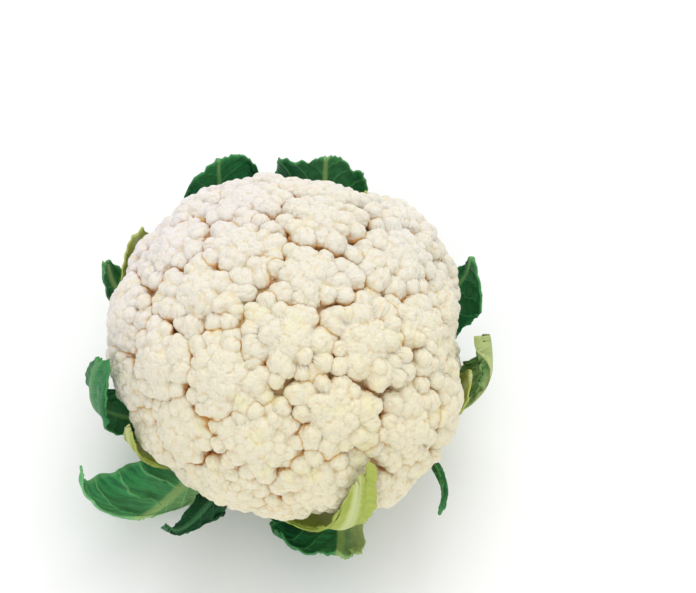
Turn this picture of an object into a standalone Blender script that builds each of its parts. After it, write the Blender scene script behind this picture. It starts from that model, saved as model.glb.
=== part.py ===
# A trimmed cauliflower head that stands on its cut stem.
# The curd is one mass of florets, each crowded with round buds. Under it are the stem and three
# whorls of leaf stubs, cut back round the head. Metres, +Z up, origin in the middle of the stem's
# cut face. The front of the head is -Y and its right-hand side is +X.

import math
import random

import bmesh
import bpy
import numpy as np
from mathutils import Matrix, Vector

# The head's outer bound, a squared-off ellipse turned about +Z
HEAD_RADIUS = 0.0825
HEAD_RISE = 0.068
HEAD_DROP = 0.040
HEAD_LEVEL = 0.064
HEAD_SQUARENESS = 2.2
PROFILE_STEPS = 720

# The head isn't round from above. Each bulge has how many times it comes round the head, its size as
# a share of the radius, and the azimuth in degrees of one of its peaks. They die out at the stem.
BULGES = ((1, 0.046, 13), (2, 0.018, -51), (3, 0.023, 48), (4, 0.018, 39), (5, 0.029, 34))
BULGE_FROM = 0.030
BULGE_FULL = 0.070

# Florets on the head, and the buds that cover them. A floret domes down to its edge, and sinks by a
# chance amount. The buds lean out from its heart and crowd in towards it.
FLORET_COUNT = 44
FLORET_LOWEST = math.radians(-40)
FLORET_WANDER = 0.0035
FLORET_REACH = 0.0185
FLORET_DOME = 0.0050
FLORET_SINK = 0.0030
FLORET_PULL = 0.03
FLORET_TILT = 0.25
BUD_COUNT = 360
BUD_RADIUS = 0.0066
BUD_SPREAD = 0.15
BUD_WANDER = 0.0022
GOLDEN_ANGLE = math.pi * (3 - math.sqrt(5))
SEED = 11

# The curd's mesh. Its florets stand out of a smooth core, which has a groove between branches below.
TOP_CLEARANCE = 0.0004
BUD_SHOULDER = 0.55
NEAREST_BUDS = math.radians(4.0)
VALLEY_STEPS = 12
CORE_DEPTH = 0.012
UNDERSIDE_DEPTH = 0.0012
UNDERSIDE_FROM = math.radians(-34)
UNDERSIDE_STEP = math.radians(9)
UNDERSIDE_COUNT = 27
BRANCH_COUNT = 9
BRANCH_GROOVE = 0.0030

# The stem
STEM_CUT_RADIUS = 0.0220
STEM_RADIUS = 0.0236
STEM_HEIGHT = 0.0235
STEM_BEVEL = 0.0012
STEM_SIDES = 32

# Leaves: each whorl keeps its own distance from the head, so that no leaf crosses another
LEAF_ROOT = STEM_RADIUS + 0.0006
WHORL_DISTANCE = (0.0007, 0.0058, 0.0122)
WHORL_RIB = (0.0040, 0.0054, 0.0072)
BLADE_THICKNESS = 0.0012
RIB_ROOT_SHARE = 1.05
RIB_TIP_WIDTH = 0.0035
RIB_TIP_SHARE = 0.42
LEAF_ROWS = 12
LEAF_COLUMNS = 9
COLUMN_CROWDING = 1.3
CURL_START = 0.30
SECTION_STEPS = 40
RAGGED_SIDE = 0.10
RAGGED_END = 0.045

LEAF_DEFAULTS = dict(
    base=0.0115, left=0.024, right=0.024, rib=1.0, lean=0.006, lean_start=0.5, sweep=0.0, late=1.0,
    curl_left=0.5, curl_right=0.5, wave=0.0015, waves=2.5, phase=0.0, cut=0.0, tip=0.12, torn=1.0,
)

# Name, whorl from the head outwards, azimuth from +X towards +Y in degrees, length along the head,
# and what differs from the defaults. Left and right are as seen from outside, stem down.
LEAVES = (
    ("leaf_inner_front", 0, 281, 0.100, dict(
        left=0.028, right=0.009, sweep=11, cut=0.34, tip=0.25, lean=0.001,
        curl_left=0.0, curl_right=0.0, wave=0.0005)),
    ("leaf_inner_left", 0, 217, 0.090, dict(
        left=0.010, right=0.012, sweep=-3, tip=0.55, lean=0.002,
        curl_left=0.2, curl_right=0.2, wave=0.0005)),
    ("leaf_inner_right", 0, 350, 0.078, dict(
        left=0.015, right=0.017, tip=0.40, lean=0.001, curl_left=0.1, curl_right=0.1, wave=0.0008)),
    ("leaf_inner_back", 0, 62, 0.086, dict(
        left=0.018, right=0.015, tip=0.35, lean=0.002, curl_left=0.1, curl_right=0.1, wave=0.0008)),
    ("leaf_inner_back_left", 0, 137, 0.094, dict(
        left=0.016, right=0.013, tip=0.30, sweep=6, lean=0.002,
        curl_left=0.1, curl_right=0.1, wave=0.0008)),
    ("leaf_middle_left", 1, 196, 0.106, dict(
        base=0.0105, left=0.019, right=0.014, tip=0.40, cut=0.20, lean=-0.0005,
        curl_left=0.2, curl_right=0.1, wave=0.0008)),
    ("leaf_middle_front", 1, 244, 0.070, dict(
        base=0.0090, left=0.0075, right=0.0065, tip=0.35, cut=-0.15, lean=0.009, sweep=-4,
        curl_left=0.4, curl_right=0.3, wave=0.002)),
    ("leaf_middle_strip", 1, 346, 0.061, dict(
        base=0.0058, left=0.0032, right=0.0032, rib=0.5, tip=0.0, lean=0.007, lean_start=0.2,
        sweep=-30, late=2.5, curl_left=0.1, curl_right=0.1, wave=0.0004, torn=0.15)),
    ("leaf_middle_right", 1, 32, 0.086, dict(
        base=0.0105, left=0.020, right=0.014, tip=0.25, lean=0.0005, cut=-0.12, sweep=-6,
        curl_left=0.2, curl_right=0.2, wave=0.001)),
    ("leaf_middle_back", 1, 108, 0.096, dict(left=0.024, right=0.018, tip=0.20, lean=0.005)),
    ("leaf_outer_front", 2, 305, 0.054, dict(
        base=0.0075, left=0.030, right=0.009, lean=0.004, lean_start=0.3, sweep=-18,
        curl_left=-0.9, curl_right=-0.2, tip=0.05, cut=0.12, wave=0.0022)),
    ("leaf_outer_front_left", 2, 224, 0.053, dict(
        left=0.020, right=0.007, lean=0.018, lean_start=0.45,
        curl_left=-0.9, curl_right=-0.6, tip=-0.10, cut=-0.55, wave=0.002)),
    ("leaf_outer_right", 2, 342, 0.090, dict(
        base=0.0075, left=0.009, right=0.010, rib=1.2, lean=-0.0045, lean_start=0.15, sweep=16,
        curl_left=-0.1, curl_right=0.2, tip=0.30, wave=0.001)),
    ("leaf_outer_back", 2, 78, 0.084, dict(
        left=0.022, right=0.026, lean=0.007, curl_left=-0.3, curl_right=0.5, tip=0.10)),
    ("leaf_outer_left", 2, 151, 0.078, dict(
        left=0.009, right=0.009, lean=-0.003, curl_left=0.3, curl_right=0.3, tip=0.25)),
)

# Name: red, green, blue in linear light, and roughness
COLOURS = {
    "curd": ((0.80, 0.74, 0.60), 0.55),
    "stem": ((0.66, 0.68, 0.42), 0.50),
    "leaf_inner": ((0.42, 0.55, 0.16), 0.45),
    "leaf_middle": ((0.10, 0.28, 0.09), 0.45),
    "leaf_outer": ((0.06, 0.21, 0.08), 0.42),
}


def material(name):
    """The plain finish of one kind of piece."""
    found = bpy.data.materials.get(name)
    if found:
        return found
    colour, roughness = COLOURS[name]
    made = bpy.data.materials.new(name)
    made.use_nodes = True
    shader = made.node_tree.nodes["Principled BSDF"]
    shader.inputs["Base Color"].default_value = (*colour, 1)
    shader.inputs["Roughness"].default_value = roughness
    shader.inputs["Metallic"].default_value = 0
    return made


def add_object(name, mesh, finish):
    """Puts a mesh in the scene as one piece, shaded smooth but for its sharp edges."""
    mesh.shade_smooth()
    mesh.materials.append(material(finish))
    made = bpy.data.objects.new(name, mesh)
    bpy.context.scene.collection.objects.link(made)
    return made


def head_profile():
    """The head's outline from underside to top: points and outward normals, in (radius, height)."""
    angle = np.linspace(-math.pi / 2, math.pi / 2, PROFILE_STEPS + 1)
    power = 2 / HEAD_SQUARENESS
    rise = np.where(angle < 0, HEAD_DROP, HEAD_RISE)
    radius = HEAD_RADIUS * np.abs(np.cos(angle)) ** power
    height = np.sign(angle) * rise * np.abs(np.sin(angle)) ** power
    steep = HEAD_SQUARENESS - 1
    normal = np.stack(
        (
            (radius / HEAD_RADIUS) ** steep / HEAD_RADIUS,
            np.sign(height) * (np.abs(height) / rise) ** steep / rise,
        ),
        axis=1,
    )
    normal /= np.linalg.norm(normal, axis=1)[:, None]
    return angle, np.stack((radius, HEAD_LEVEL + height), axis=1), normal


ANGLE, OUTLINE, OUTWARD = head_profile()
STEP_LENGTH = np.linalg.norm(np.diff(OUTLINE, axis=0), axis=1)
LENGTH = np.concatenate(([0], np.cumsum(STEP_LENGTH)))
LENGTH -= np.interp(LEAF_ROOT, OUTLINE[: PROFILE_STEPS // 2, 0], LENGTH[: PROFILE_STEPS // 2])


def on_outline(length):
    """Point and outward normal at a length along the outline, measured from the leaf roots."""
    columns = np.concatenate((OUTLINE, OUTWARD), axis=1).T
    return [np.interp(length, LENGTH, column) for column in columns]


def ease(share):
    """0 to 1, flat at both ends."""
    share = np.clip(share, 0, 1)
    return share * share * (3 - 2 * share)


def girth(around, radius):
    """How many times as far out as a round head this one reaches, at an azimuth and a radius."""
    share = sum(size * np.cos(count * (around - math.radians(peak))) for count, size, peak in BULGES)
    return 1 + share * ease((radius - BULGE_FROM) / (BULGE_FULL - BULGE_FROM))


def spread(count, wander, draw):
    """Points and normals spread evenly over the top and sides of the head by the golden angle."""
    shown = ANGLE >= FLORET_LOWEST
    outline, outward = OUTLINE[shown][::-1], OUTWARD[shown][::-1]
    area = np.cumsum(outline[:, 0] * np.abs(np.gradient(LENGTH[shown][::-1])))
    for i in range(count):
        at = np.interp((i + 0.5) / count, area / area[-1], np.arange(len(area)))
        point, normal = outline[int(at)], outward[int(at)]
        around = Vector((math.cos(i * GOLDEN_ANGLE), math.sin(i * GOLDEN_ANGLE), 0))
        stray = Vector([draw.uniform(-1, 1) * wander for _ in range(3)])
        direction = around * normal[0] + Vector((0, 0, normal[1]))
        stray -= direction * stray.dot(direction)
        yield around * point[0] + Vector((0, 0, point[1])) + stray, direction


def buds():
    """Centres and radii of the round buds. They crowd together in domed florets with gaps between."""
    draw = random.Random(SEED)
    hearts = spread(FLORET_COUNT, FLORET_WANDER, draw)
    florets = [(point, draw.random() * FLORET_SINK) for point, _ in hearts]
    centres, radii = [], []
    for point, direction in spread(BUD_COUNT, BUD_WANDER, draw):
        heart, sink = min(florets, key=lambda floret: (floret[0] - point).length)
        off = point - heart
        off -= direction * off.dot(direction)
        share = off.length / FLORET_REACH
        way = (direction + off * FLORET_TILT / FLORET_REACH).normalized()
        radius = BUD_RADIUS * (1 + draw.uniform(-1, 1) * BUD_SPREAD)
        deep = sink + FLORET_DOME * share**2
        centres.append(point - off * FLORET_PULL - direction * deep - way * radius)
        radii.append(radius)
    centres = np.array(centres)
    around = np.arctan2(centres[:, 1], centres[:, 0])
    centres[:, :2] *= girth(around, np.hypot(centres[:, 0], centres[:, 1]))[:, None]
    return centres, np.array(radii)


def curd_reach(directions, centres, radii):
    """How far the curd reaches from the middle of the head along each direction."""
    middle = np.array((0, 0, HEAD_LEVEL))
    away = centres - middle
    along = directions @ away.T
    inside = along**2 - (away**2).sum(axis=1) + radii**2
    reach = np.where(inside > 0, along + np.sqrt(np.maximum(inside, 0)), 0).max(axis=1)
    return np.maximum(reach, core_reach(directions))


def core_reach(directions):
    """The floor of the gaps between florets, and the grooved underside where the branches part."""
    elevation = np.arcsin(np.clip(directions[:, 2], -1, 1))
    around = np.arctan2(directions[:, 1], directions[:, 0])
    under = np.clip((UNDERSIDE_FROM - ANGLE) / UNDERSIDE_STEP, 0, 1)
    depth = CORE_DEPTH + (UNDERSIDE_DEPTH - CORE_DEPTH) * under
    core = OUTLINE - OUTWARD * depth[:, None]
    lift = np.arctan2(core[:, 1] - HEAD_LEVEL, core[:, 0])
    round_reach = np.hypot(core[:, 0], core[:, 1] - HEAD_LEVEL)
    wider = girth(around, np.interp(elevation, lift, round_reach) * np.cos(elevation))
    elevation = np.arctan2(wider * np.sin(elevation), np.cos(elevation))
    reach = np.interp(elevation, lift, round_reach)
    reach *= np.hypot(wider * np.cos(elevation), np.sin(elevation))
    beyond_stem = np.clip(reach * np.cos(elevation) / STEM_RADIUS - 1, 0, 1)
    groove = BRANCH_GROOVE * (0.5 - 0.5 * np.cos(BRANCH_COUNT * around))
    return reach - groove * beyond_stem


def hull_triangles(directions):
    """The triangles of the convex hull of unit vectors, which spreads them into a net over the sphere."""
    net = bmesh.new()
    for i, direction in enumerate(directions):
        net.verts.new(direction).index = i
    net.verts.ensure_lookup_table()
    bmesh.ops.convex_hull(net, input=net.verts[:])
    bmesh.ops.triangulate(net, faces=net.faces[:])
    found = np.array([[corner.index for corner in face.verts] for face in net.faces])
    net.free()
    return found


def unit(vectors):
    return vectors / np.linalg.norm(vectors, axis=1)[:, None]


def underside_directions():
    """Rings of directions below the florets, down to the stem."""
    around = np.arange(UNDERSIDE_COUNT) * 2 * math.pi / UNDERSIDE_COUNT
    points = [(0, 0, -1)]
    elevation = UNDERSIDE_FROM - UNDERSIDE_STEP
    while elevation > -math.pi / 2:
        points += [(math.cos(angle), math.sin(angle), math.tan(elevation)) for angle in around]
        elevation -= UNDERSIDE_STEP
    return unit(np.array(points))


def bud_tops(centres, radii):
    """Directions of the buds that show, thinned where two nearly coincide."""
    away = centres - np.array((0, 0, HEAD_LEVEL))
    tops = unit(away)
    reach = np.linalg.norm(away, axis=1) + radii
    shows = curd_reach(tops, centres, radii) < reach + TOP_CLEARANCE
    kept = []
    for top in tops[shows & (np.arcsin(tops[:, 2]) > UNDERSIDE_FROM)]:
        if all(top @ other < math.cos(NEAREST_BUDS) for other in kept):
            kept.append(top)
    return np.array(kept)


def lowest(weights, corners, centres, radii):
    """The lowest of a few directions between the corners of each edge or triangle, weighted in turn."""
    tried = np.einsum("wk,nkx->nwx", weights, corners)
    tried /= np.linalg.norm(tried, axis=2, keepdims=True)
    reach = curd_reach(tried.reshape(-1, 3), centres, radii).reshape(len(corners), len(weights))
    return tried[np.arange(len(corners)), reach.argmin(axis=1)]


def make_curd():
    """One solid: every bud is a dome with a shoulder, ringed by the saddles and pits between buds."""
    centres, radii = buds()
    tops = bud_tops(centres, radii)
    under = underside_directions()
    seeds = np.concatenate((tops, under))
    corners = hull_triangles(seeds)
    corners = corners[(corners < len(tops)).any(axis=1)]
    edges = np.unique(np.sort(np.concatenate((corners[:, :2], corners[:, 1:], corners[:, ::2]))), axis=0)
    edges = edges[(edges < len(tops)).all(axis=1)]
    share = np.arange(VALLEY_STEPS // 4, 3 * VALLEY_STEPS // 4 + 1) / VALLEY_STEPS
    saddles = lowest(np.stack((share, 1 - share), axis=1), seeds[edges], centres, radii)
    steps = range(2, VALLEY_STEPS - 3)
    pairs = [(i, j) for i in steps for j in steps if i + j < VALLEY_STEPS - 1]
    inner = np.array([(i, j, VALLEY_STEPS - i - j) for i, j in pairs])
    pits = lowest(inner / VALLEY_STEPS, seeds[corners], centres, radii)
    shoulders = [
        unit(seeds[corners[:, i]] * (1 - BUD_SHOULDER) + pits * BUD_SHOULDER)[corners[:, i] < len(tops)]
        for i in range(3)
    ]
    directions = np.concatenate([tops, under, saddles, pits] + shoulders)
    reach = curd_reach(directions, centres, radii)
    mesh = bpy.data.meshes.new("curd")
    points = directions * reach[:, None] + np.array((0, 0, HEAD_LEVEL))
    mesh.from_pydata(points.tolist(), [], hull_triangles(directions).tolist())
    facing_out(mesh)
    return add_object("curd", mesh, "curd")


def facing_out(mesh):
    """Merges doubles and turns every face outwards."""
    shell = bmesh.new()
    shell.from_mesh(mesh)
    bmesh.ops.remove_doubles(shell, verts=shell.verts[:], dist=1e-6)
    bmesh.ops.recalc_face_normals(shell, faces=shell.faces[:])
    shell.to_mesh(mesh)
    shell.free()


def make_stem():
    """A short stalk with a flat cut face below, its edge bevelled by the knife and wear."""
    stalk = bmesh.new()
    bmesh.ops.create_cone(
        stalk,
        cap_ends=True,
        segments=STEM_SIDES,
        radius1=STEM_CUT_RADIUS,
        radius2=STEM_RADIUS,
        depth=STEM_HEIGHT,
        matrix=Matrix.Translation((0, 0, STEM_HEIGHT / 2)),
    )
    rim = [edge for edge in stalk.edges if all(abs(vert.co.z) < 1e-6 for vert in edge.verts)]
    bmesh.ops.bevel(stalk, geom=rim, offset=STEM_BEVEL, segments=2, profile=0.5, affect="EDGES")
    mesh = bpy.data.meshes.new("stem")
    stalk.to_mesh(mesh)
    stalk.free()
    made = add_object("stem", mesh, "stem")
    mesh.set_sharp_from_angle(angle=math.radians(40))
    return made


def half_width(s, base, blade):
    """A leaf's half width along it: a clasping base, a waist, the blade, and a little less at the cut."""
    waist = base * (1 - 0.22 * ease(s / 0.25))
    return waist + (blade - waist) * ease((s - 0.22) / 0.5) - 0.12 * blade * ease((s - 0.8) / 0.2)


def section(share, width, curl):
    """How far across and off a leaf's section lies, at a share of its half width, as it curls out."""
    q = np.linspace(0, 1, SECTION_STEPS)
    bend = curl * ease((q - CURL_START) / (1 - CURL_START))
    across = np.concatenate(([0], np.cumsum(np.cos(bend))[:-1])) / (SECTION_STEPS - 1)
    off = np.concatenate(([0], np.cumsum(np.sin(bend))[:-1])) / (SECTION_STEPS - 1)
    return width * np.interp(share, q, across), width * np.interp(share, q, off)


def leaf_sheet(whorl, azimuth, length, shape):
    """The inner face of a leaf as a grid of points, and its thickness at each of them."""
    points = np.zeros((LEAF_ROWS, LEAF_COLUMNS, 3))
    thickness = np.zeros((LEAF_ROWS, LEAF_COLUMNS))
    draw = random.Random(azimuth)
    torn_end = [draw.uniform(-1, 1) * RAGGED_END * shape["torn"] for _ in range(LEAF_COLUMNS)]
    torn_side = [[draw.uniform(-1, 1) * RAGGED_SIDE for _ in range(2)] for _ in range(LEAF_ROWS)]
    for row, s in enumerate(np.linspace(0, 1, LEAF_ROWS)):
        lean = shape["lean"] * ease((s - shape["lean_start"]) / (1 - shape["lean_start"]))
        for column, v in enumerate(np.linspace(-1, 1, LEAF_COLUMNS)):
            u = math.copysign(abs(v) ** COLUMN_CROWDING, v)
            side = "right" if u > 0 else "left"
            width = half_width(s, shape["base"], shape[side])
            width *= 1 + torn_side[row][u > 0] * abs(u) ** 2 * ease(s * 2)
            across, off = section(abs(u), width, shape["curl_" + side] * ease(s))
            ripple = math.sin(2 * math.pi * (shape["waves"] * s + shape["phase"] + (0.3 if u > 0 else 0)))
            off += lean + shape["wave"] * ease(s * 1.5) * abs(u) ** 1.5 * (1 + ripple)
            end = 1 + (shape["cut"] * u - shape["tip"] * u * u + torn_end[column]) * s
            flat, height, out, up = on_outline(length * s * end)
            distance = WHORL_DISTANCE[whorl] + off
            radius = LEAF_ROOT if row == 0 else max(flat + out * distance, LEAF_ROOT)
            turned = azimuth + shape["sweep"] * s ** shape["late"]
            around = math.radians(turned) + math.copysign(across, u) / radius
            radius += flat * (girth(around, flat) - 1)
            high = height + up * distance
            points[row, column] = radius * math.cos(around), radius * math.sin(around), high
            rib_width = shape["rib"] * (shape["base"] * RIB_ROOT_SHARE * (1 - s) + RIB_TIP_WIDTH * s)
            rib = max(0, 1 - (across / rib_width) ** 2) ** 2
            rib_depth = shape["rib"] * WHORL_RIB[whorl] * (1 - (1 - RIB_TIP_SHARE) * s)
            thickness[row, column] = BLADE_THICKNESS + (rib_depth - BLADE_THICKNESS) * rib
    return points, thickness


def make_leaf(name, whorl, azimuth, length, changes):
    """A leaf stub: one sheet in triangles, thick at its rib and thin at its edges."""
    points, thickness = leaf_sheet(whorl, azimuth, length, {**LEAF_DEFAULTS, **changes})
    triangles = []
    for row in range(LEAF_ROWS - 1):
        for column in range(LEAF_COLUMNS - 1):
            a = row * LEAF_COLUMNS + column
            b, c, d = a + 1, a + LEAF_COLUMNS + 1, a + LEAF_COLUMNS
            triangles += [(a, b, c), (a, c, d)]
    mesh = bpy.data.meshes.new(name)
    mesh.from_pydata(points.reshape(-1, 3).tolist(), [], triangles)
    made = add_object(name, mesh, "_".join(name.split("_")[:2]))
    deepest = float(thickness.max())
    group = made.vertex_groups.new(name="thickness")
    for i, value in enumerate(thickness.ravel()):
        group.add([i], float(value) / deepest, "REPLACE")
    solid = made.modifiers.new("thickness", "SOLIDIFY")
    solid.thickness = deepest
    solid.offset = 1
    solid.vertex_group = group.name
    solid.use_quality_normals = True
    return made


def main():
    for old in list(bpy.data.objects):
        bpy.data.objects.remove(old)
    make_curd()
    make_stem()
    for leaf in LEAVES:
        make_leaf(*leaf)


main()
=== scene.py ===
import math
import random

import bmesh
import bpy
import numpy as np
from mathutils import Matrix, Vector


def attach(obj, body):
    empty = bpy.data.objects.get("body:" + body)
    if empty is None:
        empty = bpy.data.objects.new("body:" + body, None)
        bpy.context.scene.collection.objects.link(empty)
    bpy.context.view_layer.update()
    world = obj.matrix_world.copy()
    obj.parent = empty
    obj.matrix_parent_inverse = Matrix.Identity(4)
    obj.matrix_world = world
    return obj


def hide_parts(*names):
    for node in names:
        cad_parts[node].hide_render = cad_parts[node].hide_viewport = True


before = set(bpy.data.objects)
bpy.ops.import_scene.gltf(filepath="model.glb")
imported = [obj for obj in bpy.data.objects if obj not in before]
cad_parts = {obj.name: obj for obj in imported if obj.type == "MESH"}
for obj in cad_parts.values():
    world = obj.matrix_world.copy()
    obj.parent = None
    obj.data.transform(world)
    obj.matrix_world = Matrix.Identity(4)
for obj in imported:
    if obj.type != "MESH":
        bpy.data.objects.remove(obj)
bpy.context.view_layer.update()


# The branches. Under the florets the stem forks into thick pale arms, which fork again just below
# the curd. They are solid, juicy flesh with a thin smooth skin, greenish where they leave the stem.
# One closed skin follows the head's own outline, a little inside it, with a groove between arms.
HEAD_RADIUS = 0.0825
HEAD_RISE = 0.068
HEAD_DROP = 0.040
HEAD_LEVEL = 0.064
HEAD_SQUARENESS = 2.2
OUTLINE_STEPS = 720
BULGES = ((1, 0.046, 13), (2, 0.018, -51), (3, 0.023, 48), (4, 0.018, 39), (5, 0.029, 34))
BULGE_FROM = 0.030
BULGE_FULL = 0.070
STEM_RADIUS = 0.0236
ARM_COUNT = 9
ARM_GROOVE = 0.0042
ARM_ROUNDNESS = 0.55
FORK_COUNT = 27
FORK_GROOVE = 0.0026
FORK_ROUNDNESS = 0.6
FORK_FROM = 1.6
FORK_SWAY = ((2, 0.22, 0.7), (5, 0.15, 2.1))
FLESH_DEPTH = 0.0094
SKIN_DEPTH = 0.0012
SKIN_FROM = math.radians(-34)
SKIN_STEP = math.radians(9)
FLESH_SOAKING = (0.15, (0.9, 1.0, 0.5), 0.002)
ARM_ROWS = 110
ARM_COLUMNS = 270
CROWN_ROWS = 20
CROWN_FROM_DEGREES = -10
LAST_ROW_DEGREES = 88


class Wire:
    """A socket in a node tree. Sums on wires add Math nodes, and node() adds any other node beside it."""

    def __init__(self, tree, socket=None):
        self.tree = tree
        self.socket = socket

    def node(self, kind, settings=None, inputs=None, output=None):
        """A new node with its settings, then the values or links of its sockets. Gives one output."""
        made = self.tree.nodes.new(kind)
        for name, value in (settings or {}).items():
            setattr(made, name, value)
        for name, value in (inputs or {}).items():
            shown = [socket for socket in made.inputs if socket.enabled]
            socket = shown[name] if isinstance(name, int) else next(one for one in shown if one.name == name)
            if isinstance(value, Wire):
                self.tree.links.new(value.socket, socket)
            else:
                socket.default_value = value
        shown = [socket for socket in made.outputs if socket.enabled]
        return Wire(self.tree, next(one for one in shown if output in (None, one.name)))

    def math(self, operation, *values):
        return self.node("ShaderNodeMath", {"operation": operation}, dict(enumerate((self, *values))))

    def __add__(self, other):
        return self.math("ADD", other)

    def __sub__(self, other):
        return self.math("SUBTRACT", other)

    def __rsub__(self, other):
        return self.node("ShaderNodeMath", {"operation": "SUBTRACT"}, {0: other, 1: self})

    def __mul__(self, other):
        return self.math("MULTIPLY", other)

    def __truediv__(self, other):
        return self.math("DIVIDE", other)

    def __rtruediv__(self, other):
        return self.node("ShaderNodeMath", {"operation": "DIVIDE"}, {0: other, 1: self})

    __radd__ = __add__
    __rmul__ = __mul__

    def ease(self, start, end):
        """0 up to start, 1 from end on, and smooth between them."""
        return self.node(
            "ShaderNodeMapRange", {"interpolation_type": "SMOOTHSTEP"}, {"Value": self, 1: start, 2: end}
        )

    def tint(self, first, second):
        """The first colour where this wire is 0, and the second where it is 1."""
        return self.node("ShaderNodeMix", {"data_type": "RGBA"}, {"Factor": self, "A": first, "B": second})

    def own(self, name, output="Fac"):
        """What the mesh stores under this name."""
        return self.node("ShaderNodeAttribute", {"attribute_name": name}, output=output)

    def axis(self, name):
        """One axis of the place that this wire gives."""
        return self.node("ShaderNodeSeparateXYZ", inputs={"Vector": self}, output=name)

    def noise(self, scale, detail):
        """Soft noise over the places that this wire gives."""
        return self.node("ShaderNodeTexNoise", inputs={"Vector": self, "Scale": scale, "Detail": detail})


def start_finish(name):
    """A new material with a bare shader, and a wire to build its pattern from."""
    made = bpy.data.materials.new(name)
    made.use_nodes = True
    return made, Wire(made.node_tree), made.node_tree.nodes["Principled BSDF"].inputs


def feed(shader, name, wire):
    """Links a wire to the shader's socket of this name."""
    wire.tree.links.new(wire.socket, shader[name])


def surface(shader, colour, roughness, soaking, relief):
    """Feeds a shader its colour and roughness, how light soaks into it, and a fine bump."""
    feed(shader, "Base Color", colour)
    feed(shader, "Roughness", roughness)
    for name, value in zip(("Weight", "Radius", "Scale"), soaking):
        shader["Subsurface " + name].default_value = value
    bump = dict(zip(("Strength", "Distance", "Height"), relief))
    feed(shader, "Normal", colour.node("ShaderNodeBump", inputs=bump))


def head_profile():
    """The head's outline from its underside to its top: points and outward normals, in (radius, height)."""
    angle = np.linspace(-math.pi / 2, math.pi / 2, OUTLINE_STEPS + 1)
    power = 2 / HEAD_SQUARENESS
    rise = np.where(angle < 0, HEAD_DROP, HEAD_RISE)
    radius = HEAD_RADIUS * np.abs(np.cos(angle)) ** power
    height = np.sign(angle) * rise * np.abs(np.sin(angle)) ** power
    steep = HEAD_SQUARENESS - 1
    normal = np.stack(
        (
            (radius / HEAD_RADIUS) ** steep / HEAD_RADIUS,
            np.sign(height) * (np.abs(height) / rise) ** steep / rise,
        ),
        axis=1,
    )
    normal /= np.linalg.norm(normal, axis=1)[:, None]
    return angle, np.stack((radius, HEAD_LEVEL + height), axis=1), normal


ANGLE, OUTLINE, OUTWARD = head_profile()


def smooth(share):
    """0 to 1, flat at both ends."""
    share = np.clip(share, 0, 1)
    return share * share * (3 - 2 * share)


def girth(around, radius):
    """How many times as far out as a round head this one reaches. It has bulges that a round one lacks."""
    share = sum(size * np.cos(count * (around - math.radians(peak))) for count, size, peak in BULGES)
    return 1 + share * smooth((radius - BULGE_FROM) / (BULGE_FULL - BULGE_FROM))


def arm_reach(directions):
    """How far the flesh reaches from the middle of the head along each direction."""
    elevation = np.arcsin(np.clip(directions[:, 2], -1, 1))
    around = np.arctan2(directions[:, 1], directions[:, 0])
    under = np.clip((SKIN_FROM - ANGLE) / SKIN_STEP, 0, 1)
    depth = FLESH_DEPTH + (SKIN_DEPTH - FLESH_DEPTH) * under
    skin = OUTLINE - OUTWARD * depth[:, None]
    lift = np.arctan2(skin[:, 1] - HEAD_LEVEL, skin[:, 0])
    round_reach = np.hypot(skin[:, 0], skin[:, 1] - HEAD_LEVEL)
    wider = girth(around, np.interp(elevation, lift, round_reach) * np.cos(elevation))
    elevation = np.arctan2(wider * np.sin(elevation), np.cos(elevation))
    reach = np.interp(elevation, lift, round_reach)
    reach *= np.hypot(wider * np.cos(elevation), np.sin(elevation))
    stems_out = reach * np.cos(elevation) / STEM_RADIUS
    sway = sum(size * np.sin(count * around + phase) for count, size, phase in FORK_SWAY)
    groove = ARM_GROOVE * (1 - np.abs(np.sin(ARM_COUNT * around / 2)) ** ARM_ROUNDNESS)
    fork = FORK_GROOVE * (1 - np.abs(np.sin(FORK_COUNT * around / 2 + sway)) ** FORK_ROUNDNESS)
    return reach - groove * np.clip(stems_out - 1, 0, 1) - fork * np.clip(stems_out - FORK_FROM, 0, 1)


def add_piece(name, points, faces, values=None):
    """A smooth piece from its points and faces, with the values that its pattern reads."""
    mesh = bpy.data.meshes.new(name)
    mesh.from_pydata(points.tolist(), [], faces)
    for key, column in (values or {}).items():
        kind = "FLOAT" if column.ndim == 1 else "FLOAT_VECTOR"
        made = mesh.attributes.new(key, kind, "POINT")
        made.data.foreach_set("value" if column.ndim == 1 else "vector", column.astype(np.float32).ravel())
    mesh.shade_smooth()
    piece = bpy.data.objects.new(name, mesh)
    bpy.context.scene.collection.objects.link(piece)
    return piece


def ring_faces(rows, columns):
    """Squares between rings of points, closed by fans to the two points that come after the rings."""
    faces = []
    for row in range(rows - 1):
        for column in range(columns):
            a = row * columns + column
            b = row * columns + (column + 1) % columns
            faces.append((a, b, b + columns, a + columns))
    last = (rows - 1) * columns
    bottom = rows * columns
    for column in range(columns):
        after = (column + 1) % columns
        faces.append((after, column, bottom))
        faces.append((last + column, last + after, bottom + 1))
    return faces


def make_flesh():
    """The skin as rings of points, close together below, where the arms show, and few on top."""
    elevation = np.concatenate(
        (
            np.linspace(-LAST_ROW_DEGREES, CROWN_FROM_DEGREES, ARM_ROWS - CROWN_ROWS, endpoint=False),
            np.linspace(CROWN_FROM_DEGREES, LAST_ROW_DEGREES, CROWN_ROWS),
        )
    )
    around = np.arange(ARM_COLUMNS) * 2 * math.pi / ARM_COLUMNS
    up = np.radians(elevation)[:, None]
    directions = np.stack(
        (
            np.cos(up) * np.cos(around),
            np.cos(up) * np.sin(around),
            np.sin(up) + 0 * around,
        ),
        axis=2,
    ).reshape(-1, 3)
    directions = np.concatenate((directions, [(0, 0, -1), (0, 0, 1)]))
    points = directions * arm_reach(directions)[:, None] + (0, 0, HEAD_LEVEL)
    return add_piece("branches", points, ring_faces(ARM_ROWS, ARM_COLUMNS))


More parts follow.
